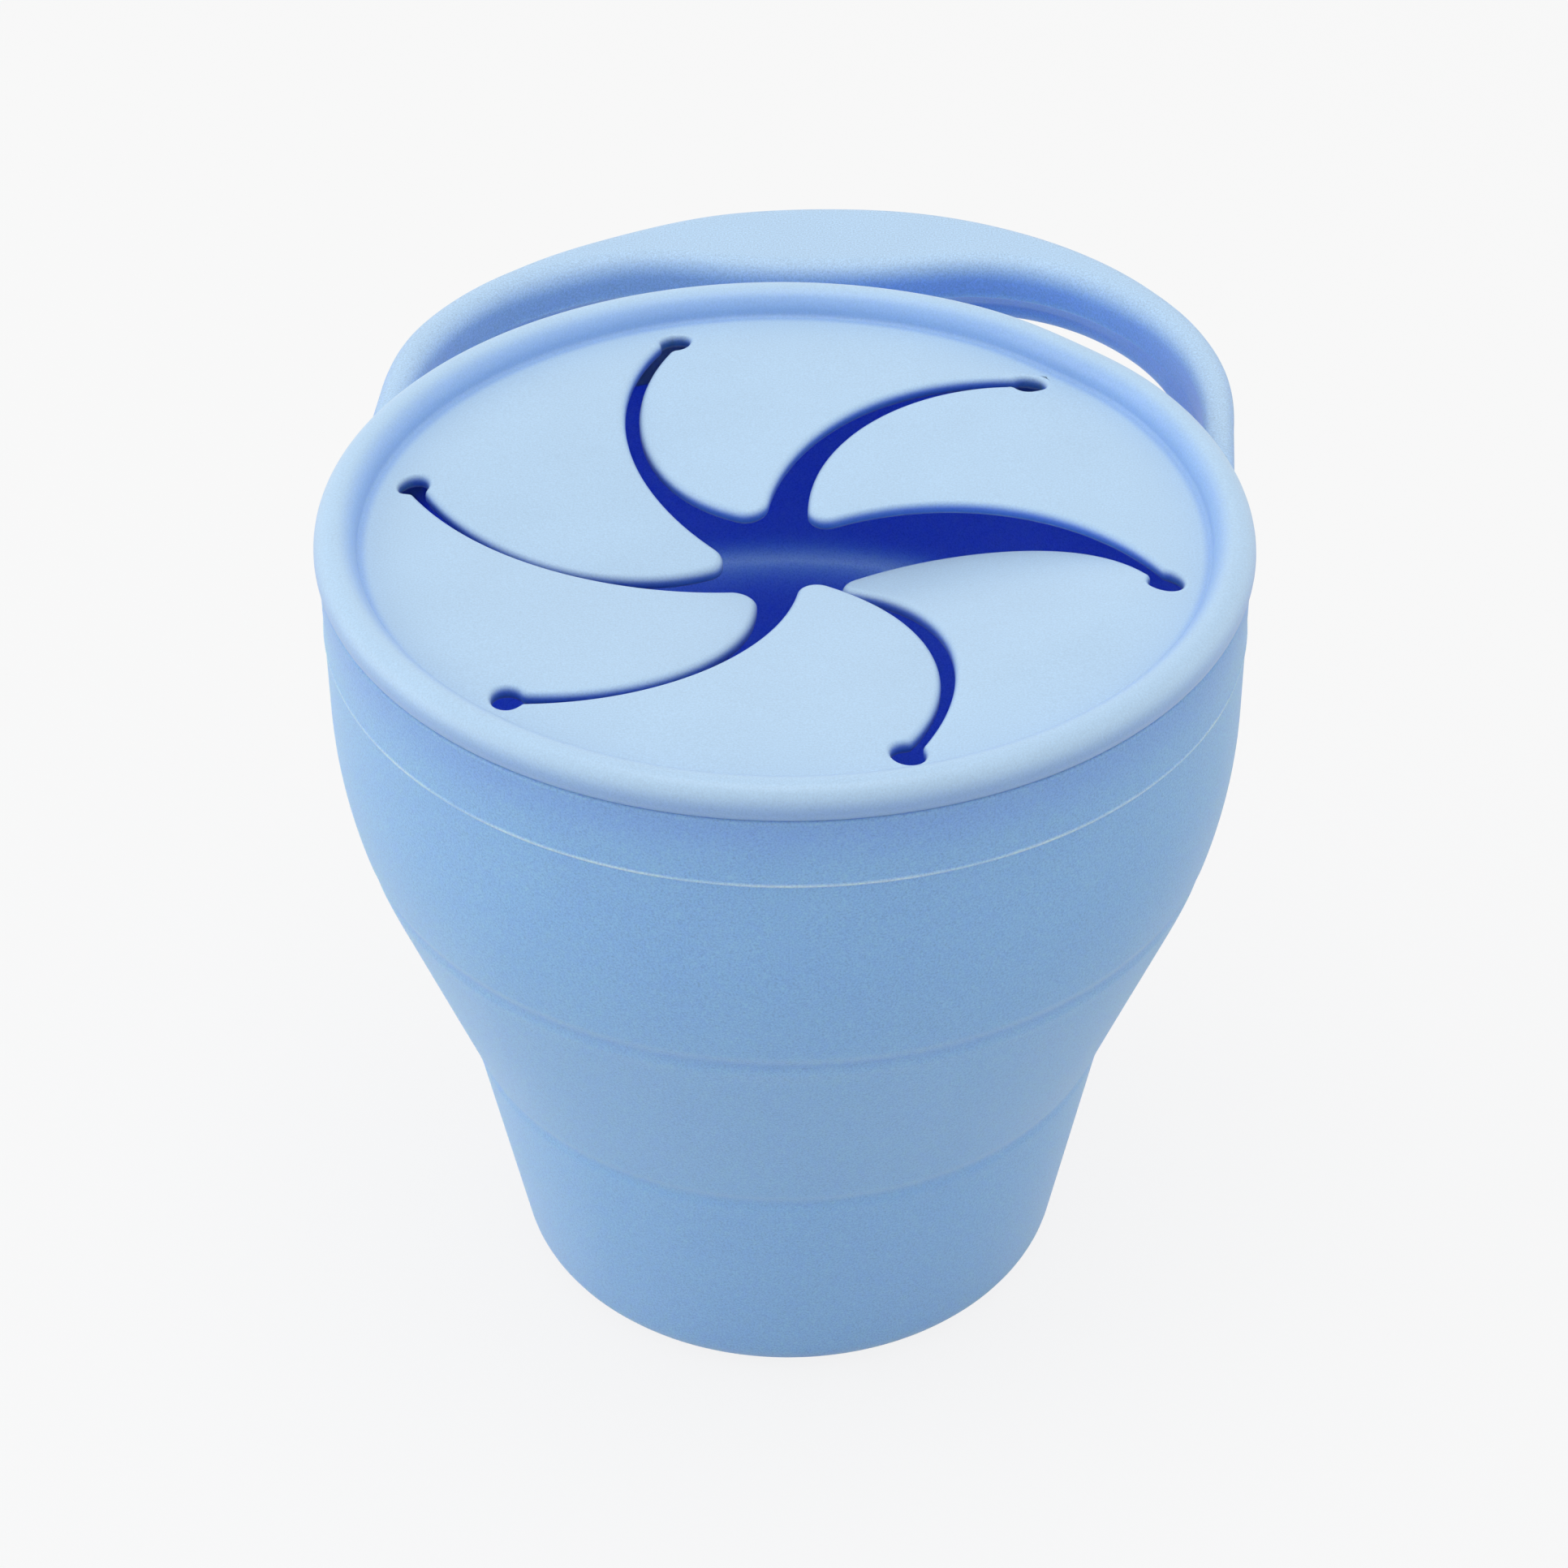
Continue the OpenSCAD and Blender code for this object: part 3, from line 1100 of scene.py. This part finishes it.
@dataclass
class LidRing:
    """The lid's round bead, its skirt and the membrane outside the petals' seam.

    Attributes:
        rim_z: Height of the cup's rim that the bead sits on.
        collar_r: Outer radius of the cup's collar.
        wall: Thickness of that collar.
        slits: Pattern that gives the six-sided seam.
        bead_r: Radius of the bead's section.
        bead_overhang: How far the bead stands past the collar.
        membrane_rise: Height of the membrane's top above the rim.
        bead_rise: Height of the bead's middle above the membrane's top.
        membrane_t: Thickness of the membrane.
        skirt_h: Depth of the skirt below the rim.
        skirt_t: Thickness of the skirt.
        skirt_gap: Clearance between the skirt and the collar.
        skirt_bevel: Width of the bevel at the skirt's foot.
        skirt_edge_r: Radius of the edge on its other side.
        web_r: Radius of the corner between the skirt and the membrane.
        foot_r: Radius of the hollow where the bead meets the membrane.
        crease_from: Distance from the bead's middle, in bead radii, where the painted shade in that
            hollow fades.
        crease_w: Width over which it fades out on the membrane.
        foot_tone: Strength of the painted shade in that hollow.
        low_tone: Strength of the painted shade low on the bead's outside.
        low_fade: Heights about the bead's middle, in bead radii, over which that fades.
        under_tone: Strength of the painted shade underneath.
        under_fade: Depths below the membrane's top between which that sets in.
        dent: Depth of the bead's slight dent.
        dent_at: Direction of the dent, in degrees.
        dent_w: Half width of the dent, in degrees.
        per_petal: Number of chords of the seam along one petal.
    """

    rim_z: float
    collar_r: float
    wall: float
    slits: SlitPattern
    bead_r: float = 2.1
    bead_overhang: float = 0.4
    membrane_rise: float = 0.8
    bead_rise: float = 0.7
    membrane_t: float = 1.6
    skirt_h: float = 6.0
    skirt_t: float = 1.8
    skirt_gap: float = 0.3
    skirt_bevel: float = 0.6
    skirt_edge_r: float = 0.4
    web_r: float = 0.5
    foot_r: float = 0.5
    crease_from: float = 1.1
    crease_w: float = 1.0
    foot_tone: float = 0.4
    low_tone: float = 0.4
    low_fade: tuple[float, float] = (-0.3, 0.8)
    under_tone: float = 0.5
    under_fade: tuple[float, float] = (0.6, 1.6)
    dent: float = 0.45
    dent_at: float = 47.0
    dent_w: float = 9.0
    per_petal: int = 64

    @property
    def membrane_z(self) -> float:
        """Height of the membrane's top face."""
        return self.rim_z + self.membrane_rise

    def profile(self) -> list[tuple[float, float, float]]:
        """The ring's closed section.

        Returns:
            For each point its radius, its height and its share of the way from the seam to the bead,
            which is 1 wherever the radius doesn't depend on the seam.
        """
        top, under = self.membrane_z, self.membrane_z - self.membrane_t
        bead = (self.collar_r + self.bead_overhang - self.bead_r, top + self.bead_rise)
        skirt_r = self.collar_r - self.wall - self.skirt_gap
        skirt_z = self.rim_z - self.skirt_h
        inner_r = skirt_r - self.skirt_t
        skirt_edge = (inner_r + self.skirt_edge_r, skirt_z + self.skirt_edge_r)
        web = (inner_r - self.web_r, under - self.web_r)
        foot_gap = math.sqrt((self.bead_r + self.foot_r) ** 2 - (self.bead_rise - self.foot_r) ** 2)
        foot = (bead[0] - foot_gap, top + self.foot_r)
        touch = math.degrees(math.atan2(bead[1] - foot[1], foot_gap))
        seat = -math.degrees(math.asin((bead[1] - self.rim_z) / self.bead_r))
        flat_r = foot[0] - self.crease_w
        path = [(flat_r, top, share) for share in (0, 0.03, 0.3, 0.6, 1)]
        path += [(flat_r + part * self.crease_w, top, 1) for part in (0.3, 0.6, 0.8)]
        path += [(r, z, 1) for r, z in bend(foot, self.foot_r, -90, touch, steps=5)]
        path += [(r, z, 1) for r, z in bend(bead, self.bead_r, 180 + touch, seat, steps=26)[1:]]
        path += [(skirt_r, self.rim_z, 1), (skirt_r, skirt_z + self.skirt_bevel, 1)]
        path += [(skirt_r - self.skirt_bevel, skirt_z, 1)]
        path += [(r, z, 1) for r, z in bend(skirt_edge, self.skirt_edge_r, -90, -180, steps=3)]
        path += [(r, z, 1) for r, z in bend(web, self.web_r, 0, 90, steps=4)]
        return path + [(web[0], under, share) for share in (0.5, 0)]

    def tone(self, r: float, z: float) -> float:
        """How much painted shade a point of the section gets.

        Args:
            r: Radius of the point.
            z: Height of the point.

        Returns:
            0 on open faces, and more painted shade in the hollow inside the bead, low on its outside
            and underneath.
        """
        side = (r - self.collar_r - self.bead_overhang + self.bead_r) / self.bead_r
        if side > 0:
            climb = (z - self.membrane_z - self.bead_rise) / self.bead_r
            return self.low_tone * (1 - smooth(climb, *self.low_fade))
        if z < self.membrane_z - 0.01:
            return self.under_tone * smooth(self.membrane_z - z, *self.under_fade)
        away = (-side - self.crease_from) * self.bead_r
        return self.foot_tone * smooth(-side, 0.1, 1.0) * (1 - smooth(away, 0.0, self.crease_w))

    def build(self) -> bpy.types.Object:
        """Turns the section round the axis, with its inner edge on the six-sided seam.

        Returns:
            The ring.
        """
        slits = self.slits
        section = self.profile()
        angles = slits.seam_angles(self.per_petal)[:0:-1]
        points, inner = [], []
        for petal in range(slits.count):
            middle = slits.first_angle - slits.pitch * (petal + 0.5)
            for angle in angles:
                out = turned(1 + 0j, middle + angle)
                seam = slits.laid(out * slits.seam_r(angle))
                off = (middle + angle - self.dent_at + 180) % 360 - 180
                pull = self.dent * bump(off, self.dent_w)
                for r, z, share in section:
                    lip = r - pull if z > self.rim_z + 0.5 else r
                    place = seam + (out * lip - seam) * share
                    points.append((place.real, place.imag, settled(place.real, z)))
                    # painted shade in the bead's hollow, low on its outside and underneath
                    inner.append(self.tone(r, z))
        rings = slits.count * self.per_petal
        faces = grid_faces(rings, len(section), wrap_rows=True, wrap_columns=True)
        return make_piece("lid_rim", points, faces, {Mark.PAINTED_SHADE: inner}, crease=50.0)

    def dress(self, silicone: bpy.types.Material) -> bpy.types.Object:
        """Builds the ring and gives it its finish.

        Args:
            silicone: The lid's silicone.

        Returns:
            The finished piece.
        """
        piece = self.build()
        piece.data.materials.append(silicone)
        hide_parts("lid_ring")
        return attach(piece, Body.LID.value)


@dataclass
class Petal:
    """One flap of the lid, which bends down from its root under its own weight.

    Attributes:
        number: Number of the petal, clockwise from the first hole.
        sag: How far the petal's tip hangs below the membrane.
        twist: How much one side of it hangs lower, in millimetres per 10 mm of width.
        lid: The ring that it joins.
        edge_r: Radius of a free edge's top.
        under_edge_r: Radius of its underside.
        reach: Distance from the hinge line to the petal's tip.
        curve: How late the petal bends, 1 for a straight flap and more towards its tip.
        spacing: Distance between the points of its faces.
        edge_steps: Number of chords of each rounded edge.
        blend_end: Distance from the lid's middle at which the petal is done bending.
        edge_deep: Depth below the top at which a free edge's painted shade is full.
        under_pale: How much less painted shade the underside gets than the edges.
    """

    number: int
    sag: float
    twist: float
    lid: LidRing
    edge_r: float = 0.75
    under_edge_r: float = 0.5
    reach: float = 26.8
    curve: float = 1.36
    spacing: float = 1.4
    edge_steps: int = 6
    blend_end: float = 20.0
    edge_deep: float = 1.0
    under_pale: float = 0.6

    @property
    def middle(self) -> float:
        """Direction of the petal's middle, in degrees."""
        return self.lid.slits.first_angle - self.lid.slits.pitch * (self.number - 0.5)

    def droop(self, place: complex) -> float:
        """How far the bent petal lies below its flat shape at a point of its own plane."""
        share = max(0.0, self.lid.slits.root - place.real) / self.reach
        return self.sag * share**self.curve + self.twist * share * place.imag / 10

    def edge(self) -> list[Point]:
        """Makes the section of a free edge.

        Returns:
            Its points from the top, as distance into the petal and depth below its top face.
        """
        thick = self.lid.membrane_t
        steps = np.radians(np.linspace(0, 90, self.edge_steps + 1))
        path = [(self.edge_r * (1 - math.sin(a)), self.edge_r * (1 - math.cos(a))) for a in steps]
        under = self.under_edge_r
        return path + [(under * (1 - math.cos(a)), thick - under * (1 - math.sin(a))) for a in steps]

    def fill(self, loop: list[complex]) -> tuple[list[complex], list[list[int]]]:
        """Triangulates the inside of a closed loop with evenly spaced points.

        Args:
            loop: The loop, anticlockwise.

        Returns:
            The added points, and triangles whose numbers count the loop first and then them.
        """
        outline = np.array(loop)
        extra = []
        rows = np.arange(outline.imag.min(), outline.imag.max(), self.spacing * math.sqrt(3) / 2)
        for number, y in enumerate(rows):
            shift = self.spacing / 2 * (number % 2)
            for x in np.arange(outline.real.min() + shift, outline.real.max(), self.spacing):
                spot = complex(x, y)
                clear = np.abs(outline - spot).min() >= 0.6 * self.spacing
                if clear and np.angle((np.roll(outline, -1) - spot) / (outline - spot)).sum() > math.pi:
                    extra.append(spot)
        spots = [Vector((p.real, p.imag)) for p in list(loop) + extra]
        edges = [(i, (i + 1) % len(loop)) for i in range(len(loop))]
        found = geometry.delaunay_2d_cdt(spots, edges, [], 1, 1e-5)
        numbers = [origins[0] for origins in found[3]]
        return extra, [[numbers[i] for i in face] for face in found[2]]

    def build(self) -> bpy.types.Object:
        """Builds the petal as a closed plate with rounded free edges, bent to its resting shape.

        Returns:
            The petal.
        """
        slits = self.lid.slits
        outline = slits.outline(self.lid.per_petal)
        edge = self.edge()
        flat: list[tuple[complex, float]] = []
        for inset, depth in edge:
            flat += [(p + n * inset, depth) for p, n in outline]
        count = len(outline)
        sides = grid_faces(len(edge), count, wrap_rows=False, wrap_columns=True)
        faces = [face[::-1] for face in sides]
        extra, triangles = self.fill([p for p, _ in flat[:count]])
        last = (len(edge) - 1) * count
        for depth, start, step in ((0.0, 0, 1), (self.lid.membrane_t, last, -1)):
            base = len(flat)
            flat += [(p, depth) for p in extra]
            for triangle in triangles:
                numbers = [start + i if i < count else base + i - count for i in triangle]
                faces.append(numbers[::step])
        points, inner = [], []
        for place, depth in flat:
            spot = slits.laid(turned(place, self.middle))
            z = self.lid.membrane_z - depth - self.droop(place)
            points.append((spot.real, spot.imag, settled(spot.real, z)))
            # painted shade on the cut faces in the slits, less of it on the underside
            under = smooth(depth, self.lid.membrane_t - self.under_edge_r, self.lid.membrane_t)
            inner.append(smooth(depth, 0.0, self.edge_deep) * (1 - self.under_pale * under))
        return make_piece(f"petal_flap_{self.number}", points, faces, {Mark.PAINTED_SHADE: inner})

    def dress(self, silicone: bpy.types.Material) -> bpy.types.Object:
        """Builds the petal, bent to its resting shape, and gives it its finish.

        Args:
            silicone: The lid's silicone.

        Returns:
            The finished piece.
        """
        piece = self.build()
        piece.data.materials.append(silicone)
        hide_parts(f"petal_{self.number}")
        radii = (self.lid.slits.seam - SEAM_GAP, self.blend_end)
        ends = [turned(complex(r, 0), self.middle) * MM for r in radii]
        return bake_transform(piece)


# ---------------------------------------------------------------- the studio


@dataclass(frozen=True)
class SoftBox:
    """A square lamp with a diffuser, aimed at the cup.

    Attributes:
        name: Name of the lamp.
        place: Where it hangs, in metres.
        target: Where it points, in metres.
        side: Length of its side, in metres.
        power: Its power, in watts.
    """

    name: str
    place: tuple[float, float, float]
    target: tuple[float, float, float]
    side: float
    power: float

    def hang(self) -> None:
        """Puts the lamp into the scene."""
        lamp = bpy.data.lights.new(self.name, "AREA")
        lamp.shape, lamp.size, lamp.energy = "SQUARE", self.side, self.power
        box = bpy.data.objects.new(self.name, lamp)
        box.location = self.place
        aim = Vector(self.target) - Vector(self.place)
        box.rotation_euler = aim.to_track_quat("-Z", "Y").to_euler()
        bpy.context.scene.collection.objects.link(box)


@dataclass
class Studio:
    """Plain pale floor, soft lamps and the camera.

    Attributes:
        floor_hex: Colour that the camera sees where the floor is lit.
        floor_bounce: Share of the light that the floor gives back to the object.
        shadow_share: How much of the object's shadow shows on the floor.
        world_level: Strength of the room's even light.
        floor_half: Half side of the floor, in metres.
        camera_place: Where the camera stands, in millimetres.
        camera_turn: How it is turned, in degrees.
        lens: Its focal length, in millimetres.
        sensor_w: Width of its sensor, in millimetres.
        lamps: The soft boxes.
    """

    floor_hex: str = "#f8f8f8"
    floor_bounce: float = 0.62
    shadow_share: float = 0.1
    world_level: float = 0.73
    floor_half: float = 3.0
    camera_place: tuple[float, float, float] = (0.0, -334.1, 309.2)
    camera_turn: tuple[float, float, float] = (53.0, 0.33, -0.2)
    lens: float = 90.66
    sensor_w: float = 36.0
    lamps: tuple[SoftBox, ...] = (
        SoftBox("overhead_box", (0.0, -0.02, 0.9), (0.0, 0.0, 0.06), 0.45, 1.72),
        SoftBox("left_box", (-0.85, 0.0, 0.3), (0.0, 0.0, 0.05), 0.7, 2.3),
        SoftBox("right_box", (0.85, 0.2, 0.3), (0.0, 0.0, 0.05), 0.7, 0.6),
    )

    @staticmethod
    def seen_ray(tree: bpy.types.NodeTree) -> bpy.types.NodeSocket:
        """Tells the rays that show the surroundings, straight or in a reflection.

        Args:
            tree: Node tree that gets the test.

        Returns:
            A socket that is 1 for such a ray.
        """
        path = add_node(tree, "ShaderNodeLightPath")
        seen = path.outputs["Is Camera Ray"]
        for name in ("Is Glossy Ray", "Is Transmission Ray"):
            links = {0: seen, 1: path.outputs[name]}
            seen = add_node(tree, "ShaderNodeMath", {"operation": "MAXIMUM"}, links).outputs[0]
        return seen

    def floor(self) -> None:
        """Lays the floor, which shows its own pale colour to the camera and keeps a soft shadow."""
        mesh = bpy.data.meshes.new("floor")
        half = self.floor_half
        square = [(-half, -half, 0), (half, -half, 0), (half, half, 0), (-half, half, 0)]
        mesh.from_pydata(square, [], [(0, 1, 2, 3)])
        floor = bpy.data.objects.new("floor", mesh)
        bpy.context.scene.collection.objects.link(floor)
        material = bpy.data.materials.new("matt_paper_sweep")
        material.use_nodes = True
        tree = material.node_tree
        tree.nodes.clear()
        lit = add_node(tree, "ShaderNodeBsdfDiffuse", {"Color": linear(self.floor_hex)})
        dim = add_node(tree, "ShaderNodeBsdfDiffuse", {"Color": (self.floor_bounce,) * 3 + (1,)})
        glow = add_node(tree, "ShaderNodeEmission", {"Color": linear(self.floor_hex), "Strength": 1.0})
        seen = add_node(
            tree,
            "ShaderNodeMixShader",
            {0: self.shadow_share},
            {1: glow.outputs[0], 2: lit.outputs[0]},
        )
        both = add_node(
            tree,
            "ShaderNodeMixShader",
            links={0: self.seen_ray(tree), 1: dim.outputs[0], 2: seen.outputs[0]},
        )
        add_node(tree, "ShaderNodeOutputMaterial", links={"Surface": both.outputs[0]})
        mesh.materials.append(material)

    def world(self) -> None:
        """Fills the room with even light, and shows the floor's colour behind it."""
        world = bpy.data.worlds.new("even_room")
        world.use_nodes = True
        tree = world.node_tree
        tree.nodes.clear()
        room = add_node(
            tree, "ShaderNodeBackground", {"Color": (1, 1, 1, 1), "Strength": self.world_level}
        )
        seen = add_node(tree, "ShaderNodeBackground", {"Color": linear(self.floor_hex), "Strength": 1.0})
        both = add_node(
            tree,
            "ShaderNodeMixShader",
            links={0: self.seen_ray(tree), 1: room.outputs[0], 2: seen.outputs[0]},
        )
        add_node(tree, "ShaderNodeOutputWorld", links={"Surface": both.outputs[0]})
        bpy.context.scene.world = world

    def camera(self) -> None:
        """Places the camera in front of the cup and above it."""
        camera = bpy.data.cameras.new("camera")
        camera.lens, camera.sensor_width = self.lens, self.sensor_w
        holder = bpy.data.objects.new("camera", camera)
        holder.location = [c * MM for c in self.camera_place]
        holder.rotation_euler = [math.radians(a) for a in self.camera_turn]
        bpy.context.scene.collection.objects.link(holder)
        bpy.context.scene.camera = holder

    def build(self) -> None:
        """Sets up everything that isn't part of the object."""
        self.floor()
        self.world()
        for lamp in self.lamps:
            lamp.hang()
        self.camera()
        bpy.context.scene.view_settings.view_transform = "Standard"


# ---------------------------------------------------------------- the whole


# Sag and twist of each petal at rest, clockwise from the first hole
RESTING = ((0.75, 1.15), (1.62, -0.1), (5.5, 0.85), (2.4, 0.05), (4.3, -0.9), (3.55, 0.08))


def main() -> None:
    """Builds the cup, its handle and its lid, and reports each piece."""
    logging.basicConfig(level=logging.INFO, format="%(name)s: %(message)s")
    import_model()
    Studio().build()
    cup = CupMoulding.from_frame()
    handle = LoopHandle.from_frame(cup)
    lid = LidRing(cup.rim_z, cup.collar_r, cup.wall, SlitPattern())
    pieces = [
        cup.dress(Finish.CUP.value.make()),
        handle.dress(Finish.HANDLE.value.make()),
        lid.dress(Finish.LID.value.make()),
    ]
    flap_silicone = Finish.PETAL.value.make()
    for number, (sag, twist) in enumerate(RESTING, start=1):
        pieces.append(Petal(number, sag, twist, lid).dress(flap_silicone))
    for piece in pieces:
        log.info("%s: %d faces", piece.name, len(piece.data.polygons))


if __name__ == "__main__":
    main()
